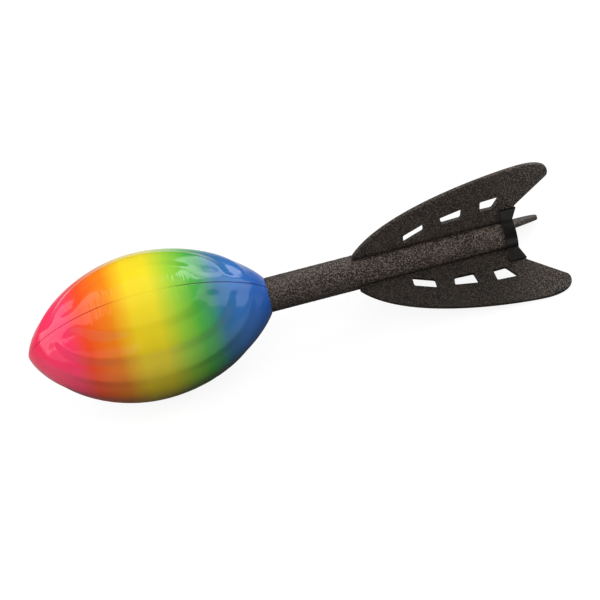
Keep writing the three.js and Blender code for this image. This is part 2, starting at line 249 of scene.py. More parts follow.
# Stiffener, in millimetres: each pair is for the low and the high end of its drawn lines
DRAWN_LINE_SIZE = 0.6
DRAWN_LINE_STRETCH = (0.05, 1.0, 1.0)  # of the noise's places, so that lines run lengthways
DRAWN_LINE_DEPTH = 0.03
STIFFENER_ROUGHNESS = (0.4, 0.55)
STIFFENER_COLOURS = ("c9c9c2", "dcdcd6")

TAIL_END = next(m for m in frame["record"]["mounts"] if m["name"] == "tail_end")
TAIL_POINT = np.array(TAIL_END["pos_m"])
AXIS = np.array(TAIL_END["axis"])
SIDE = np.array([0.0, 1.0, 0.0])
TOY_AXES = np.stack([AXIS, SIDE, np.cross(AXIS, SIDE)])


def points_of(obj):
    """The vertices of a mesh object, as rows of three numbers."""
    points = np.empty(3 * len(obj.data.vertices), np.float32)
    obj.data.vertices.foreach_get("co", points)
    return points.reshape(-1, 3).astype(float)


def from_tail(node):
    """A CAD node's vertices in the toy's directions, in millimetres from the tail's end."""
    return (points_of(frame["nodes"][node]) - TAIL_POINT) @ TOY_AXES.T / MM


NOSE_FROM_TAIL = from_tail("head_skin")[:, 0].min()
TOY_ORIGIN = np.array([NOSE_FROM_TAIL + HEAD_NOSE_LENGTH, 0, 0])


def extent(node):
    """A CAD node's lowest x, its highest x and its greatest and least distance from the axis."""
    points = from_tail(node) - TOY_ORIGIN
    radius = np.hypot(points[:, 1], points[:, 2])
    return points[:, 0].min(), points[:, 0].max(), radius.max(), radius.min()


def in_frame(points):
    """Points of the toy's frame, in millimetres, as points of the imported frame, in metres."""
    return TAIL_POINT + (np.asarray(points) + TOY_ORIGIN) @ TOY_AXES * MM


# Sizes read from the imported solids, in millimetres
_, NECK_X, HEAD_RADIUS, _ = extent("head_skin")
HEAD_LENGTH = HEAD_NOSE_LENGTH + float(NECK_X)
SHAFT_FRONT_X, SHAFT_REAR_X, SHAFT_RADIUS, SHAFT_BORE_RADIUS = extent("shaft_tube")
SOCKET_RADIUS = SHAFT_RADIUS + JOIN_GAP
FIN_FRONT_X, FIN_REAR_X, _, _ = extent("fin_upper")
FIN_POINTS = from_tail("fin_upper") - TOY_ORIGIN
FIN_THICKNESS = np.ptp(FIN_POINTS[:, 1])
FIN_REACH = FIN_POINTS[:, 2].max() - SHAFT_RADIUS
SLIT_WIDTH = FIN_THICKNESS + 2 * JOIN_GAP
SLIT_FRONT_X = FIN_FRONT_X - JOIN_GAP
_, CLIP_END_X, CLIP_ARM_RADIUS, _ = extent("tail_clip")
# The tail's end is the clip's rear face
CLIP_REAR_X = -TOY_ORIGIN[0]
# The fin steps over the clip's ring: its lowest point behind the tube is the top of that step
BEHIND_TUBE = FIN_POINTS[:, 0] > SHAFT_REAR_X + CLIP_STEP_MARGIN
CLIP_STEP_RADIUS = FIN_POINTS[BEHIND_TUBE, 2].min()


def smooth_step(value, low, high):
    """0 below low, 1 above high, and an S-shaped rise between them: three times the square of the
    way, less twice its cube."""
    t = np.clip((value - low) / (high - low), 0, 1)
    return t * t * (3 - 2 * t)


def lumps(points, size, seed):
    """A bumpy field with lumps of about one size, its spread 1: the sum of cosines of the place
    along random directions, each with a random phase."""
    draw = np.random.default_rng(seed)
    directions = draw.normal(size=(3, GRAIN_WAVES))
    directions /= np.linalg.norm(directions, axis=0)
    directions *= 2 * np.pi / size * draw.uniform(*GRAIN_SPREAD, GRAIN_WAVES)
    phases = draw.uniform(0, 2 * np.pi, GRAIN_WAVES)
    return np.cos(points @ directions + phases).sum(axis=1) * math.sqrt(2 / GRAIN_WAVES)


def pebbles(points, seed):
    """How deep the grain goes at each point, in units of its depth: coarse lumps with finer ones on
    them, taken from the height at which they are cut level."""
    coarse = lumps(points, GRAIN_SIZE, seed)
    fine = lumps(points, GRAIN_SIZE / 2, seed + 1)
    return np.clip(GRAIN_CUT - (coarse + FINE_GRAIN_SHARE * fine), 0, GRAIN_DEEPEST)


def add_mesh(name, points, face_sets, sharp_angle=None):
    """A mesh object from points in the toy's frame and arrays of faces, each array of one width."""
    mesh = bpy.data.meshes.new(name)
    corners = np.concatenate([faces.ravel() for faces in face_sets])
    widths = np.concatenate([np.full(len(faces), faces.shape[1]) for faces in face_sets])
    mesh.vertices.add(len(points))
    mesh.vertices.foreach_set("co", in_frame(points).astype(np.float32).ravel())
    mesh.loops.add(len(corners))
    mesh.loops.foreach_set("vertex_index", corners.astype(np.int32))
    mesh.polygons.add(len(widths))
    starts = np.concatenate([[0], np.cumsum(widths)[:-1]])
    mesh.polygons.foreach_set("loop_start", starts.astype(np.int32))
    mesh.update(calc_edges=True)
    mesh.polygons.foreach_set("use_smooth", np.ones(len(widths), bool))
    if sharp_angle is not None:
        mesh.set_sharp_from_angle(angle=sharp_angle)
    obj = bpy.data.objects.new(name, mesh)
    bpy.context.scene.collection.objects.link(obj)
    return obj


def wear(obj, finish):
    """Gives an object a finish as its only material."""
    obj.data.materials.clear()
    obj.data.materials.append(finish.material)


def dress(obj, finish, node):
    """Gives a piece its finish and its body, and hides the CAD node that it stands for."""
    wear(obj, finish)
    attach(obj, "root")
    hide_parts(node)


def grid_quads(rows, columns):
    """The quads of a grid of points whose columns close on themselves."""
    row, column = np.meshgrid(np.arange(rows - 1), np.arange(columns), indexing="ij")
    here = (row * columns + column).ravel()
    beside = (row * columns + (column + 1) % columns).ravel()
    return np.stack([here, beside, beside + columns, here + columns], axis=1)


def around(x, radius, turn):
    """Points at a place along the axis, a distance from it and a turn from the upper fin: side is
    minus the sine of the turn, and rise its cosine, times the distance."""
    x, radius, turn = np.broadcast_arrays(x, radius, turn)
    return np.stack([x, -radius * np.sin(turn), radius * np.cos(turn)], axis=-1)


def head_outline(angle, inset=0.0):
    """x and radius of the head's outline at an angle that is 0 at the nose and pi where it would
    close behind. x is minus the cosine times the length of that end. The radius is the greatest
    radius times the sine to twice the taper power."""
    length = np.where(angle < np.pi / 2, HEAD_NOSE_LENGTH, HEAD_TAIL_LENGTH) - inset
    return -np.cos(angle) * length, (HEAD_RADIUS - inset) * np.sin(angle) ** (2 * HEAD_TAPER_POWER)


def neck_angle(inset=0.0):
    """The outline's angle where the neck ends it: its cosine is minus the neck's x over the length
    of the head's tail end."""
    return math.acos(-NECK_X / (HEAD_TAIL_LENGTH - inset))


def flute_depth(x, radius, from_seam):
    """How far the flutes go in. In the middle of the head their crests are evenly turned from the
    seam. Towards both ends each crest bends over to meet it: the cosine of its turn is a constant
    over the cosine of an eased latitude. Outward from a crest the skin falls steeply and then rises
    slowly to the next. In the middle that section is a soft wave, a squared sine, and shallow.
    Towards the ends the crests are crisp and the hollows round, one minus a power of the way up.
    The first flute, which holds the seam, is flat. The others taper off beside the seam, at the
    nose and at the neck, and are shallower far from the seam."""
    latitude = np.arcsin(np.minimum(1, np.abs(x - FLUTE_MIDDLE_X) / FLUTE_HALF_LENGTH))
    eased = np.pi / 2 * smooth_step(latitude, 0, np.pi / 2)
    flute = np.arccos(np.cos(eased) * np.abs(np.cos(from_seam))) / (2 * np.pi / FLUTES_ROUND)
    across = flute % 1
    down = np.where(across < FLUTE_LOWEST, across / FLUTE_LOWEST, (1 - across) / (1 - FLUTE_LOWEST))
    soft = np.sin(np.pi / 2 * down) ** 2
    crisp = 1 - (1 - down) ** FLUTE_POWER
    full = smooth_step(latitude, 0, FLUTE_FULL_LATITUDE)
    section = soft + (crisp - soft) * full
    middle = FLUTE_MIDDLE_SHARE + (1 - FLUTE_MIDDLE_SHARE) * full
    far = 1 - (1 - FLUTE_FAR_SHARE) * smooth_step(flute, FLUTE_FAR_START, FLUTES_ROUND / 4)
    taper = smooth_step(radius * np.abs(np.sin(from_seam)), SEAM_BAND, SEAM_FADE)
    neck_fade = smooth_step(NECK_X - x, 0, NECK_FADE)
    nose_fade = smooth_step(x + HEAD_NOSE_LENGTH, 0, NOSE_FADE)
    return FLUTE_DEPTH * section * middle * far * (flute > 1) * taper * neck_fade * nose_fade


def seam_groove(x, radius, from_seam):
    """Depth of the parting line: a bell curve across each of the two seams, faint where the skin
    is stretched in the middle."""
    full = smooth_step(np.abs(x - FLUTE_MIDDLE_X), *GROOVE_FAINT_ENDS)
    depth = GROOVE_DEPTH * (GROOVE_FAINT_SHARE + (1 - GROOVE_FAINT_SHARE) * full)
    return depth * np.exp(-((radius * np.sin(from_seam) / GROOVE_WIDTH) ** 2))


def head_outside(from_seam):
    """Rows from the nose to the neck: the outline, less the flutes and the parting line."""
    angle = (neck_angle() * np.arange(1, HEAD_ROWS + 1) / HEAD_ROWS)[:, None]
    x, radius = head_outline(angle)
    depth = flute_depth(x, radius, from_seam) + seam_groove(x, radius, from_seam)
    return around(x, radius - depth, from_seam + SEAM_TURN)


def head_lip(from_seam):
    """Rows round the neck's lip: half an ellipse from the outside to the socket."""
    half = (head_outline(neck_angle())[1] - SOCKET_RADIUS) / 2
    angle = LIP_ANGLES[:, None]
    x = NECK_X + half * LIP_BULGE_SHARE * np.sin(angle)
    return around(x, SOCKET_RADIUS + half * (1 + np.cos(angle)), from_seam + SEAM_TURN)


def head_lining(from_seam):
    """Rows from the neck back to the nose: the outline set in by the wall, and no narrower than the
    socket behind the head's middle."""
    last = neck_angle(SKIN_WALL)
    x, radius = head_outline(np.linspace(last, last / LINING_ROWS, LINING_ROWS)[:, None], SKIN_WALL)
    return around(x, np.maximum(radius, SOCKET_RADIUS * (x > 0)), from_seam + SEAM_TURN)


def build_head_skin():
    """The skin as one closed sheet: rows run along the outside from the nose to the neck, round its
    lip and back along the lining. Columns crowd towards the seam's two lines, by the sine of twice
    their turn, and a fan of triangles closes the nose outside and inside."""
    first = np.arange(HEAD_COLUMNS)
    column = 2 * np.pi * first / HEAD_COLUMNS
    from_seam = column - COLUMN_CROWDING / 2 * np.sin(2 * column)
    grid = np.concatenate([head_outside(from_seam), head_lip(from_seam), head_lining(from_seam)])
    poles = [[-HEAD_NOSE_LENGTH, 0, 0], [SKIN_WALL - HEAD_NOSE_LENGTH, 0, 0]]
    points = np.concatenate([grid.reshape(-1, 3), poles])
    outside_pole = np.full(HEAD_COLUMNS, len(points) - 2)
    inside_pole = np.full(HEAD_COLUMNS, len(points) - 1)
    beside = (first + 1) % HEAD_COLUMNS
    last_row = (len(grid) - 1) * HEAD_COLUMNS
    outside_fan = np.stack([outside_pole, beside, first], axis=1)
    inside_fan = np.stack([first + last_row, beside + last_row, inside_pole], axis=1)
    faces = [grid_quads(len(grid), HEAD_COLUMNS), outside_fan, inside_fan]
    obj = add_mesh("head_moulding", points, faces)
    keep_moulding_place(obj, points)
    return obj


def keep_moulding_place(obj, points):
    """Stores each point's place for the print: x, then the distances across and along the seam's
    plane, in millimetres."""
    across = -points[:, 1] * math.cos(SEAM_TURN) - points[:, 2] * math.sin(SEAM_TURN)
    through = -points[:, 1] * math.sin(SEAM_TURN) + points[:, 2] * math.cos(SEAM_TURN)
    place = obj.data.attributes.new("moulding_place", "FLOAT_VECTOR", "POINT")
    values = np.stack([points[:, 0], across, through], axis=1)
    place.data.foreach_set("vector", values.astype(np.float32).ravel())


def two_layers(upper, lower, quads):
    """A closed solid from two layers of points and the faces of the upper one. The lower layer has
    the same faces turned over, and a rim of quads joins the edges that only one face has."""
    count = len(upper)
    starts, ends = quads, np.roll(quads, -1, axis=1)
    # Each edge has a number each way, and an outer edge is one that no face runs backwards
    forward, backward = starts * count + ends, ends * count + starts
    edge = ~np.isin(forward, backward)
    start, end = starts[edge], ends[edge]
    rim = np.stack([end, start, start + count, end + count], axis=1)
    faces = [quads, quads[:, ::-1] + count]
    used = np.unique(np.concatenate([quads.ravel(), quads.ravel() + count]))
    place = np.full(2 * count, -1)
    place[used] = np.arange(len(used))
    points = np.concatenate([upper, lower])[used]
    return points, [place[f] for f in [*faces, rim]]


def keep_paleness(obj, values):
    """Stores for each point how pale and coarse the foam is there, from 0 to 1: painted light and
    shade, and the grain's coarseness.
    """
    paleness = obj.data.attributes.new("paleness", "FLOAT", "POINT")
    paleness.data.foreach_set("value", np.clip(values, 0, 1).astype(np.float32))


def tube_rows():
    """Places of the tube's rows along the axis: few where the head hides it, and then evenly
    spaced, with one where the slits start."""
    shown = NECK_X - TUBE_HIDDEN_MARGIN
    hidden = np.linspace(SHAFT_FRONT_X, shown, TUBE_HIDDEN_ROWS, endpoint=False)
    return np.concatenate([
        hidden,
        rows_between(shown, SLIT_FRONT_X),
        rows_between(SLIT_FRONT_X, SHAFT_REAR_X)[1:],
    ])


def rows_between(low, high):
    """Evenly spaced places from low to high, both included."""
    return np.linspace(low, high, round((high - low) / TUBE_ROW_SPACING) + 1)


def tube_turns(radius):
    """Turns of the tube's columns at a distance from the axis: in each third, steps across the slit
    between its parallel walls and then steps over to the next slit."""
    edge = math.asin(SLIT_WIDTH / 2 / radius)
    across = np.linspace(-edge, edge, SLIT_STEPS, endpoint=False)
    between = np.linspace(edge, THIRD_TURN - edge, SECTOR_STEPS, endpoint=False)
    return np.concatenate([np.concatenate([across, between]) + turn for turn in FIN_TURNS])


def build_foam_tube():
    """The foam tube: an outside with a pebbled grain, a plain bore, and three slits that run to its
    rear end, as gaps in the faces of both layers."""
    x = tube_rows()
    turns = tube_turns(SHAFT_RADIUS)
    columns = len(turns)
    plain = around(x[:, None], SHAFT_RADIUS, turns).reshape(-1, 3)
    depth = GRAIN_DEPTH * pebbles(plain, GRAIN_SEED).reshape(len(x), columns)
    outside = around(x[:, None], SHAFT_RADIUS - depth, turns).reshape(-1, 3)
    bore = around(x[:, None], SHAFT_BORE_RADIUS, tube_turns(SHAFT_BORE_RADIUS)).reshape(-1, 3)
    quads = grid_quads(len(x), columns)
    column = quads[:, 0] % columns % (SLIT_STEPS + SECTOR_STEPS)
    in_slit = (column < SLIT_STEPS) & (x[quads[:, 0] // columns] > SLIT_FRONT_X - TOLERANCE)
    points, faces = two_layers(outside, bore, quads[~in_slit])
    obj = add_mesh("foam_tube", points, faces, TUBE_SHARP_ANGLE)
    keep_paleness(obj, tube_paleness(points))
    return obj


def tube_paleness(points):
    """The tube's foam is painted darker towards the head and paler towards its rear, and dark in
    the creases along the fins: painted light and shade.
    """
    x = points[:, 0]
    # painted shade towards the head, painted light towards the rear
    rear_light = smooth_step(x, SLIT_FRONT_X, SHAFT_REAR_X)
    from_slit = np.min([np.abs(slit_distance(points, turn)) for turn in FIN_TURNS], axis=0)
    # painted shade in the creases along the fins
    crease_shade = 1 - smooth_step(from_slit, SLIT_WIDTH / 2, SLIT_WIDTH / 2 + CREASE_WIDTH)
    started = smooth_step(x, SLIT_FRONT_X - CREASE_START, SLIT_FRONT_X + CREASE_START)
    pale = TUBE_FRONT_PALENESS + (1 - TUBE_FRONT_PALENESS) * rear_light
    return pale * (1 - crease_shade * started)


def slit_distance(points, turn):
    """Distance from a slit's middle plane, with its sign, and on the other side of the axis the
    tube's radius, which is far from any slit."""
    outward = points[:, 2] * math.cos(turn) - points[:, 1] * math.sin(turn)
    sideways = points[:, 1] * math.cos(turn) + points[:, 2] * math.sin(turn)
    return np.where(outward > 0, sideways, SHAFT_RADIUS)


def fin_point(shares):
    """x and distance from the axis, from shares of the fin's length and of its reach."""
    return np.array([
        FIN_FRONT_X + shares[0] * (FIN_REAR_X - FIN_FRONT_X),
        SHAFT_RADIUS + shares[1] * FIN_REACH,
    ])


def bezier(points, steps):
    """Points along a straight line or a quadratic or cubic Bezier curve, its first point included
    and its last not: its control points weighed by the terms of a binomial."""
    points = np.asarray(points, float)
    degree = len(points) - 1
    t = np.arange(steps)[:, None] / steps
    return sum(
        math.comb(degree, k) * (1 - t) ** (degree - k) * t**k * points[k] for k in range(degree + 1)
    )


def fin_edge():
    """The fin's outer edge, anticlockwise in x and distance from the axis, as lines and curves with
    their steps: the tab in the slit, the step over the clip, the arm's end, the straight rear edge,
    the rear corner, the tip, the leading edge and the front of the tab."""
    leading = [fin_point(shares) for shares in LEADING_EDGE_SHARES]
    tip = [fin_point(shares) for shares in TIP_SHARES]
    corner = [fin_point(shares) for shares in REAR_CORNER_SHARES]
    tab_front = [FIN_FRONT_X, SHAFT_BORE_RADIUS]
    tab_rear = [SHAFT_REAR_X, SHAFT_BORE_RADIUS]
    step_front = [SHAFT_REAR_X, CLIP_STEP_RADIUS]
    step_rear = [CLIP_REAR_X, CLIP_STEP_RADIUS]
    arm = [CLIP_END_X, CLIP_ARM_RADIUS]
    front = [FIN_FRONT_X, SHAFT_RADIUS + FIN_FRONT_HEIGHT]
    parts = [
        ([tab_front, tab_rear], 80),
        ([tab_rear, step_front], 6),
        ([step_front, step_rear], 2),
        ([step_rear, arm], 8),
        ([arm, corner[1]], 26),
        ([corner[1], corner[0], tip[2]], 8),
        ([tip[2], tip[1], tip[0], leading[2]], 20),
        ([leading[2], leading[1], leading[0], front], 110),
        ([front, tab_front], 6),
    ]
    return np.concatenate([bezier(points, steps) for points, steps in parts])


def slot_edge(shares):
    """A four-cornered hole, clockwise: straight sides, and corners rounded off by quadratic curves
    that start and end at the same distance from each corner."""
    corners = [fin_point(s) for s in shares]
    parts = []
    for number, corner in enumerate(corners):
        before, after = corners[number - 1], corners[(number + 1) % 4]
        start, end = short_of(corner, before), short_of(corner, after)
        parts.append(bezier([start, corner, end], SLOT_CORNER_STEPS))
        parts.append(bezier([end, short_of(after, corner)], SLOT_SIDE_STEPS))
    return np.concatenate(parts)


def short_of(corner, other):
    """The point where a slot's side leaves a corner's rounding, on the way to another corner."""
    return corner + (other - corner) / np.linalg.norm(other - corner) * SLOT_CORNER_ROUND


def set_in(edge, inset):
    """An edge moved into the material, which lies on its left, with its corners kept sharp. Each
    point moves by the sum of its two sides' normals over one plus their product."""
    ahead = np.roll(edge, -1, axis=0) - edge
    ahead /= np.linalg.norm(ahead, axis=1)[:, None]
    left = np.stack([-ahead[:, 1], ahead[:, 0]], axis=1)
    before = np.roll(left, 1, axis=0)
    both = left + before
    return edge + inset * both / (1 + (left * before).sum(axis=1))[:, None]


def inside(points, loops):
    """Whether points lie within the first loop and in none of the others: an even-odd count of the
    edges that a ray to the right crosses."""
    crossings = np.zeros(len(points), int)
    for loop in loops:
        after = np.roll(loop, -1, axis=0)
        spans = (loop[:, 1] > points[:, 1:2]) != (after[:, 1] > points[:, 1:2])
        rise = np.where(after[:, 1] == loop[:, 1], 1, after[:, 1] - loop[:, 1])
        reach = loop[:, 0] + (points[:, 1:2] - loop[:, 1]) / rise * (after[:, 0] - loop[:, 0])
        crossings += (spans & (points[:, 0:1] < reach)).sum(axis=1)
    return crossings % 2 == 1


def inner_points(loops):
    """Points over a fin's flat face, in rows of even triangles, clear of its edges."""
    low, high = loops[0].min(axis=0), loops[0].max(axis=0)
    spacing = FIN_POINT_SPACING
    across, up = np.meshgrid(
        np.arange(low[0], high[0], spacing), np.arange(low[1], high[1], spacing * math.sqrt(0.75))
    )
    across[1::2] += spacing / 2
    points = np.stack([across.ravel(), up.ravel()], axis=1)
    edges = np.concatenate(loops)
    gap = np.hypot(points[:, 0:1] - edges[:, 0], points[:, 1:2] - edges[:, 1]).min(axis=1)
    return points[inside(points, loops) & (gap >= spacing * FIN_EDGE_GAP_SHARE)]


def fin_sheet(loops):
    """Points and triangles of a fin's flat face: a Delaunay triangulation of the points of its
    edges, which come first and in their order, and of the points within."""
    every = np.concatenate([*loops, inner_points(loops)])
    constraints = []
    first = 0
    for loop in loops:
        ring = np.arange(first, first + len(loop))
        constraints += np.stack([ring, np.roll(ring, -1)], axis=1).tolist()
        first += len(loop)
    found = geometry.delaunay_2d_cdt(every.tolist(), constraints, [], 0, SAME_POINT)
    points, triangles = np.array(found[0]), np.array(found[2])
    return points, triangles[inside(points[triangles].mean(axis=1), loops)]


def rim_section(size):
    """Inset and height of each point of a rim's section but the first and last: a quarter round
    from the upper face, a flat and a quarter round to the lower face."""
    turn = np.linspace(np.pi / 2, 0, RIM_STEPS + 1)[1:]
    inset = size * (1 - np.cos(turn))
    height = FIN_THICKNESS / 2 - size + size * np.sin(turn)
    return zip([*inset, *inset[::-1]], [*height, *-height[::-1]])


def build_fin_form():
    """One fin in its own plane: the triangles of its flat faces, and the rounded rim round its edge
    and each slot, as a section carried along the edge."""
    edges = [fin_edge()] + [slot_edge(shares) for shares in SLOT_SHARES]
    rounds = [FIN_RIM_ROUND] + [SLOT_RIM_ROUND] * len(SLOT_SHARES)
    loops = [set_in(edge, size) for edge, size in zip(edges, rounds)]
    sheet, triangles = fin_sheet(loops)
    count = len(sheet)
    upper_face = np.column_stack([sheet, np.full(count, FIN_THICKNESS / 2)])
    points = [upper_face, upper_face * [1, 1, -1]]
    quads = []
    edge_first, rim_first = 0, 2 * count
    for edge, size in zip(edges, rounds):
        along = np.arange(len(edge))
        rings = [edge_first + along]
        for inset, height in rim_section(size):
            points.append(np.column_stack([set_in(edge, inset), np.full(len(edge), height)]))
            rings.append(rim_first + along)
            rim_first += len(edge)
        rings.append(rings[0] + count)
        for upper, lower in zip(rings[:-1], rings[1:]):
            quads.append(np.stack([upper, lower, np.roll(lower, -1), np.roll(upper, -1)], axis=1))
        edge_first += len(edge)
    return np.concatenate(points), [triangles, triangles[:, ::-1] + count, np.concatenate(quads)]


def build_fin(name, turn, form, paleness, seed):
    """A fin's form, grained on its flat faces and set at its turn about the axis. Its foam is as
    pale as the two values say at the front and at the rear, painted light and shade, and dark along
    its root, a painted shade."""
    flat, faces = form
    face_side = np.sign(flat[:, 2]) * (np.abs(flat[:, 2]) > FIN_THICKNESS / 2 - TOLERANCE)
    thickness = flat[:, 2] - face_side * FIN_GRAIN_DEPTH * pebbles(flat, seed)
    along = np.array([1, 0, 0])
    outward = np.array([0, -math.sin(turn), math.cos(turn)])
    sideways = np.array([0, -math.cos(turn), -math.sin(turn)])
    points = flat[:, 0:1] * along + flat[:, 1:2] * outward + thickness[:, None] * sideways
    obj = add_mesh(name, points, faces, FIN_SHARP_ANGLE)
    # painted sheen, paler towards the rear
    rear_light = smooth_step(flat[:, 0], FIN_REAR_X - SHEEN_LENGTH, FIN_REAR_X)
    # painted shade along the root, where the fin meets the tube
    root = smooth_step(flat[:, 1], SHAFT_RADIUS, SHAFT_RADIUS + CREASE_WIDTH)
    keep_paleness(obj, (paleness[0] + (paleness[1] - paleness[0]) * rear_light) * root)
    return obj


def build_clip():
    """The clip: a copy of its solid, its loose triangles merged and its edges rounded."""
    obj = bpy.data.objects.new("clip_moulding", frame["nodes"]["tail_clip"].data.copy())
    bpy.context.scene.collection.objects.link(obj)
    mesh = bmesh.new()
    mesh.from_mesh(obj.data)
    bmesh.ops.remove_doubles(mesh, verts=mesh.verts, dist=CLIP_MERGE_DISTANCE * MM)
    bmesh.ops.dissolve_limit(
        mesh, angle_limit=CLIP_FLAT_ANGLE, verts=mesh.verts, edges=mesh.edges
    )
    mesh.to_mesh(obj.data)
    mesh.free()
    bevel = obj.modifiers.new("rounded edges", "BEVEL")
    bevel.width = CLIP_EDGE_ROUND * MM
    bevel.segments = CLIP_EDGE_STEPS
    bevel.limit_method = "ANGLE"
    bevel.angle_limit = CLIP_SHARP_ANGLE
    bevel.harden_normals = True
    obj.data.polygons.foreach_set("use_smooth", np.ones(len(obj.data.polygons), bool))
    obj.data.set_sharp_from_angle(angle=CLIP_SHARP_ANGLE)
    return obj


class Signal:
    """A shader socket. Arithmetic on a number adds Math nodes to the finish that it belongs to."""

    def __init__(self, finish, socket):
        self.finish, self.socket = finish, socket

    def operate(self, operation, first, second=0.0):
        """A Math node on one number or two."""
        return self.finish.add("ShaderNodeMath", {"operation": operation}, {0: first, 1: second})

    def __add__(self, other):
        return self.operate("ADD", self, other)

    def __sub__(self, other):
        return self.operate("SUBTRACT", self, other)

    def __rsub__(self, other):
        return self.operate("SUBTRACT", other, self)

    def __mul__(self, other):
        return self.operate("MULTIPLY", self, other)

    def __truediv__(self, other):
        return self.operate("DIVIDE", self, other)

    def __abs__(self):
        return self.operate("ABSOLUTE", self)

    __radd__ = __add__
    __rmul__ = __mul__

    def between(self, low, high):
        """The number that lies between low and high as this one lies between 0 and 1."""
        return low + (high - low) * self

    def rise(self, low, high):
        """0 where the number is below low, 1 above high, smooth between."""
        settings = {"interpolation_type": "SMOOTHSTEP"}
        inputs = {"Value": self, "From Min": low, "From Max": high}
        return self.finish.add("ShaderNodeMapRange", settings, inputs)


class Finish:
    """A material made of nodes."""

    def __init__(self, name):
        self.material = bpy.data.materials.new(name)
        self.material.use_nodes = True
        self.tree = self.material.node_tree
        self.tree.nodes.clear()

    def add(self, kind, settings=None, inputs=None, output=0):
        """Adds a node: its settings first, then values or links for its sockets. Returns one of its
        outputs, chosen by number or name."""
        node = self.tree.nodes.new(kind)
        for name, value in (settings or {}).items():
            if name == "stops":
                self.set_stops(node.color_ramp, value)
            else:
                setattr(node, name, value)
        for name, value in (inputs or {}).items():
            if isinstance(value, Signal):
                self.tree.links.new(value.socket, node.inputs[name])
            else:
                node.inputs[name].default_value = value
        return Signal(self, node.outputs[output]) if node.outputs else None

    def set_stops(self, ramp, stops):
        """Replaces a colour ramp's stops by pairs of a position and a colour."""
        while len(ramp.elements) > 1:
            ramp.elements.remove(ramp.elements[-1])
        for number, (position, shade) in enumerate(stops):
            element = ramp.elements[0] if number == 0 else ramp.elements.new(position)
            element.position = position
            element.color = shade

    def place(self):
        """The place on the object, in metres."""
        return self.add("ShaderNodeTexCoord", output="Object")

    def stretch(self, place, factors):
        """A place with each of its three numbers multiplied by a factor."""
        return self.add("ShaderNodeVectorMath", {"operation": "MULTIPLY"}, {0: place, 1: factors})

    def noise(self, place, size, detail=2.0, roughness=0.5):
        """Smooth noise with lumps of a size in the place's own unit, from 0 to 1."""
        inputs = {"Vector": place, "Scale": 1 / size, "Detail": detail, "Roughness": roughness}
        return self.add("ShaderNodeTexNoise", None, inputs)

    def bump(self, height, depth, under=None):
        """A normal bent by a height, as a share of a depth in metres, on top of another normal."""
        inputs = {"Height": height, "Distance": depth}
        if under is not None:
            inputs["Normal"] = under
        return self.add("ShaderNodeBump", None, inputs)

    def ramp(self, share, stops):
        """A colour that runs through stops with a share from 0 to 1."""
        return self.add("ShaderNodeValToRGB", {"stops": stops}, {"Fac": share})

    def mix(self, factor, low, high, blend="MIX"):
        """A colour that goes from low to high with the factor."""
        settings = {"data_type": "RGBA", "blend_type": blend}
        return self.add("ShaderNodeMix", settings, {0: factor, 6: low, 7: high}, output=2)

    def tint(self, factor, codes):
        """A colour that goes from one screen colour to another with the factor."""
        return self.mix(factor, *[colour(code) for code in codes])

    def surface(self, **sockets):
        """The Principled shader, its sockets named with underscores for spaces, as the surface."""
        inputs = {name.replace("_", " "): value for name, value in sockets.items()}
        shader = self.add("ShaderNodeBsdfPrincipled", None, inputs)
        self.add("ShaderNodeOutputMaterial", None, {"Surface": shader})
        return self


def colour(code):
    """A screen colour written as six hexadecimal digits, as the linear colour of a shader, by the
    standard curve of screens."""
    parts = [int(code[k : k + 2], 16) / 255 for k in (0, 2, 4)]
    return (*[c / 12.92 if c < 0.04045 else ((c + 0.055) / 1.055) ** 2.4 for c in parts], 1.0)


def grey(level):
    """A grey as the linear colour of a shader: 0 is black and 1 is white."""
    return (level, level, level, 1.0)


def wrinkle_stops():
    """Stops of a ramp that is white on the wrinkled stretches of the head and black elsewhere."""
    levels = (0, 1, 1, 0)
    return [(share, grey(level)) for band in WRINKLE_SHARES for share, level in zip(band, levels)]


def printed_skin():
    """Glossy film with a rainbow print along the head, a darker parting line and fine wrinkles."""
    skin = Finish("printed skin")
    place = skin.add("ShaderNodeAttribute", {"attribute_name": "moulding_place"}, output="Vector")
    x, across = [
        skin.add("ShaderNodeSeparateXYZ", None, {"Vector": place}, output=k) for k in range(2)
    ]
    mottle = skin.noise(place, PRINT_MOTTLE_SIZE)
    share = (x + HEAD_NOSE_LENGTH) / HEAD_LENGTH + (mottle - 0.5) * PRINT_MOTTLE_SHARE
    print_colour = skin.ramp(share, [(stop, colour(code)) for stop, code in PRINT_SHARES])
    strength = skin.ramp(share, [(stop, grey(level)) for stop, level in LINE_SHARES])
    line = 1 - abs(across).rise(*LINE_EDGES)
    shaded = skin.mix(1.0, print_colour, colour(LINE_TINT), "MULTIPLY")
    wrinkles = skin.noise(skin.stretch(place, WRINKLE_STRETCH), WRINKLE_SIZE, detail=1.0)
    near_seam = 1 - abs(across).rise(*WRINKLE_EDGES)
    wrinkled = wrinkles * near_seam * skin.ramp(share, wrinkle_stops())
    wavy = skin.bump(skin.noise(place, RIPPLE_SIZE, detail=1.0), RIPPLE_DEPTH * MM)
    return skin.surface(
        Base_Color=skin.mix(line * strength, print_colour, shaded),
        Roughness=0.11,
        IOR=1.45,
        Specular_IOR_Level=0.4,
        Normal=skin.bump(wrinkled, WRINKLE_DEPTH * MM, wavy),
    )


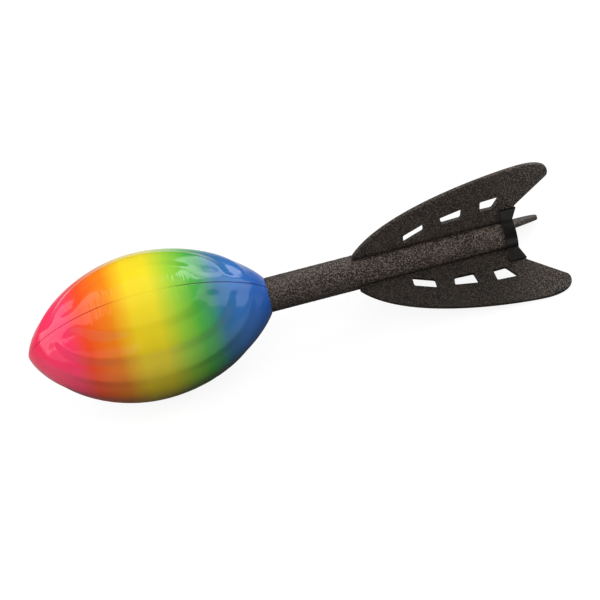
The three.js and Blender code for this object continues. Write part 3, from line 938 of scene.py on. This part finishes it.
def tail_foam():
    """Dense foam, a dark grey-brown with paler specks, darker or paler by the painted light and
    shade that
    its paleness holds: coarse and shiny where it is pale, and fine and dull in the creases and on
    the fins."""
    foam = Finish("tail foam")
    place = foam.place()
    pale = foam.add("ShaderNodeAttribute", {"attribute_name": "paleness"}, output="Fac")
    speck = foam.noise(place, SPECK_SIZE * MM, detail=1.0, roughness=0.6)
    patch = foam.noise(place, PATCH_SIZE * MM)
    fine = foam.noise(place, FINE_PIT_SIZE * MM)
    # colours between painted shade and painted light, by the paleness
    low = foam.tint(pale, FOAM_DARK)
    high = foam.tint(pale, FOAM_SPECK)
    specked = foam.mix(speck.rise(*SPECK_EDGES), low, high)
    even = foam.mix(0.5, low, high)
    height = (fine * FINE_PIT_SHARE + speck) * pale.between(*FOAM_BUMP_SHARES)
    return foam.surface(
        Base_Color=foam.mix(patch.rise(*PATCH_EDGES) * PATCH_SHARE, specked, even),
        Roughness=pale.between(*FOAM_ROUGHNESS),
        IOR=1.45,
        Normal=foam.bump(height, FOAM_BUMP_DEPTH * MM),
    )


def clip_plastic():
    """Glossy black plastic with faint flow marks."""
    plastic = Finish("clip plastic")
    flow = plastic.noise(plastic.place(), FLOW_MARK_SIZE * MM)
    return plastic.surface(
        Base_Color=plastic.tint(flow, CLIP_COLOURS),
        Roughness=flow.between(*CLIP_ROUGHNESS),
        IOR=1.43,
        Normal=plastic.bump(flow, FLOW_MARK_DEPTH * MM),
    )


def core_foam():
    """Pale cellular foam."""
    foam = Finish("core foam")
    cell_inputs = {"Vector": foam.place(), "Scale": 1 / (CELL_SIZE * MM)}
    cells = foam.add("ShaderNodeTexVoronoi", None, cell_inputs)
    return foam.surface(
        Base_Color=foam.tint(cells.rise(*CELL_EDGES), CORE_FOAM_COLOURS),
        Roughness=0.9,
        Normal=foam.bump(cells, CELL_DEPTH * MM),
    )


def stiffener():
    """Pale drawn plastic with faint lines along it."""
    plastic = Finish("stiffener")
    lengthways = plastic.stretch(plastic.place(), DRAWN_LINE_STRETCH)
    lines = plastic.noise(lengthways, DRAWN_LINE_SIZE * MM)
    return plastic.surface(
        Base_Color=plastic.tint(lines, STIFFENER_COLOURS),
        Roughness=lines.between(*STIFFENER_ROUGHNESS),
        Normal=plastic.bump(lines, DRAWN_LINE_DEPTH * MM),
    )


def studio_floor():
    """A pale floor. The camera sees it nearly white with the toy's shadow on it. A gloss sees the
    same floor with painted shade, darker where the toy shuts it in and grey far off. What it
    throws back on to the toy is dim."""
    finish = Finish("studio floor")
    camera, glossy, through = [
        finish.add("ShaderNodeLightPath", output=name)
        for name in ("Is Camera Ray", "Is Glossy Ray", "Is Transmission Ray")
    ]
    openness = finish.add(
        "ShaderNodeAmbientOcclusion",
        {"samples": SHUT_IN_SAMPLES},
        {"Distance": SHUT_IN_REACH},
        output="AO",
    )
    from_toy = finish.add(
        "ShaderNodeVectorMath", {"operation": "LENGTH"}, {0: finish.place()}, output="Value"
    )
    # painted shade on the floor as glossy rays see it: darker where the toy shuts it in and grey
    # far off
    shut_in = 1 - openness.rise(*OPENNESS_EDGES)
    shade = glossy * (shut_in + (1 - shut_in) * from_toy.rise(*FAR_EDGES) * FAR_SHADE)
    white = {"Color": grey(1), "Strength": (1 - shade) * FLOOR_GLOW}
    glow = finish.add("ShaderNodeEmission", None, white)
    paint, dim = [
        finish.add("ShaderNodeBsdfDiffuse", None, {"Color": grey(level)})
        for level in (FLOOR_PAINT, FLOOR_DIM_PAINT)
    ]
    shown = finish.add("ShaderNodeAddShader", None, {0: glow, 1: paint})
    looked_at = camera + glossy + through
    both = finish.add("ShaderNodeMixShader", None, {0: looked_at, 1: dim, 2: shown})
    finish.add("ShaderNodeOutputMaterial", None, {"Surface": both})
    return finish


def add_floor():
    """A square floor at height 0."""
    mesh = bpy.data.meshes.new("studio floor")
    signs = [(-1, -1), (1, -1), (1, 1), (-1, 1)]
    corners = [(a * FLOOR_HALF_SIZE, b * FLOOR_HALF_SIZE, 0) for a, b in signs]
    mesh.from_pydata(corners, [], [(0, 1, 2, 3)])
    floor = bpy.data.objects.new("studio_floor", mesh)
    wear(floor, studio_floor())
    bpy.context.scene.collection.objects.link(floor)


def add_softbox(name, azimuth, elevation, distance, width, height, radiance, mirrored):
    """A softbox that faces the toy. Azimuth 0 is behind it, from the camera, and 90 is at its tail.
    A radiance of 1 looks white in a mirror, where it is mirrored at all."""
    lamp = bpy.data.lights.new(name, "AREA")
    lamp.shape = "RECTANGLE"
    lamp.size, lamp.size_y = width, height
    lamp.energy = radiance * math.pi * width * height
    a, e = math.radians(azimuth), math.radians(elevation)
    towards = Vector((math.sin(a) * math.cos(e), math.cos(a) * math.cos(e), math.sin(e)))
    obj = bpy.data.objects.new(name, lamp)
    turn = towards.to_track_quat("Z", "Y").to_matrix().to_4x4()
    obj.matrix_world = Matrix.Translation(AIM + towards * distance) @ turn
    obj.visible_camera = False
    obj.visible_glossy = mirrored
    bpy.context.scene.collection.objects.link(obj)


def add_lights():
    """The softboxes, and a faint even light from all round."""
    for name, setting in SOFTBOXES.items():
        add_softbox(name, *setting)
    world = bpy.data.worlds.new("studio")
    world.use_nodes = True
    background = world.node_tree.nodes["Background"]
    background.inputs["Color"].default_value = grey(1)
    background.inputs["Strength"].default_value = WORLD_STRENGTH
    bpy.context.scene.world = world


def add_camera():
    """The camera looks at the aim from its distance, turned about its own line of sight by the
    roll."""
    a, e = CAMERA_AZIMUTH, CAMERA_ELEVATION
    forward = Vector((math.sin(a) * math.cos(e), math.cos(a) * math.cos(e), -math.sin(e)))
    level = forward.cross((0, 0, 1)).normalized()
    right = level * math.cos(CAMERA_ROLL) + level.cross(forward) * math.sin(CAMERA_ROLL)
    up = right.cross(forward)
    camera = bpy.data.cameras.new("photograph")
    camera.lens, camera.sensor_width = CAMERA_LENS, CAMERA_SENSOR
    obj = bpy.data.objects.new("photograph", camera)
    turn = Matrix((right, up, -forward)).transposed().to_4x4()
    obj.matrix_world = Matrix.Translation(AIM - forward * CAMERA_DISTANCE) @ turn
    bpy.context.scene.collection.objects.link(obj)
    bpy.context.scene.camera = obj


# The scene and its pieces
bpy.context.scene.view_settings.view_transform = "Standard"
add_camera()
add_floor()
add_lights()

head = build_head_skin()
dress(head, printed_skin(), "head_skin")
foam_finish = tail_foam()
tube = build_foam_tube()
dress(tube, foam_finish, "shaft_tube")
fin_form = build_fin_form()
for number, (name, turn) in enumerate(zip(FIN_NAMES, FIN_TURNS)):
    seed = GRAIN_SEED + FIN_SEED_STEP * number
    fin = build_fin("foam_" + name, turn, fin_form, FIN_PALENESS[number], seed)
    dress(fin, foam_finish, name)
dress(build_clip(), clip_plastic(), "tail_clip")
wear(frame["nodes"]["head_core"], core_foam())
wear(frame["nodes"]["core_tube"], stiffener())
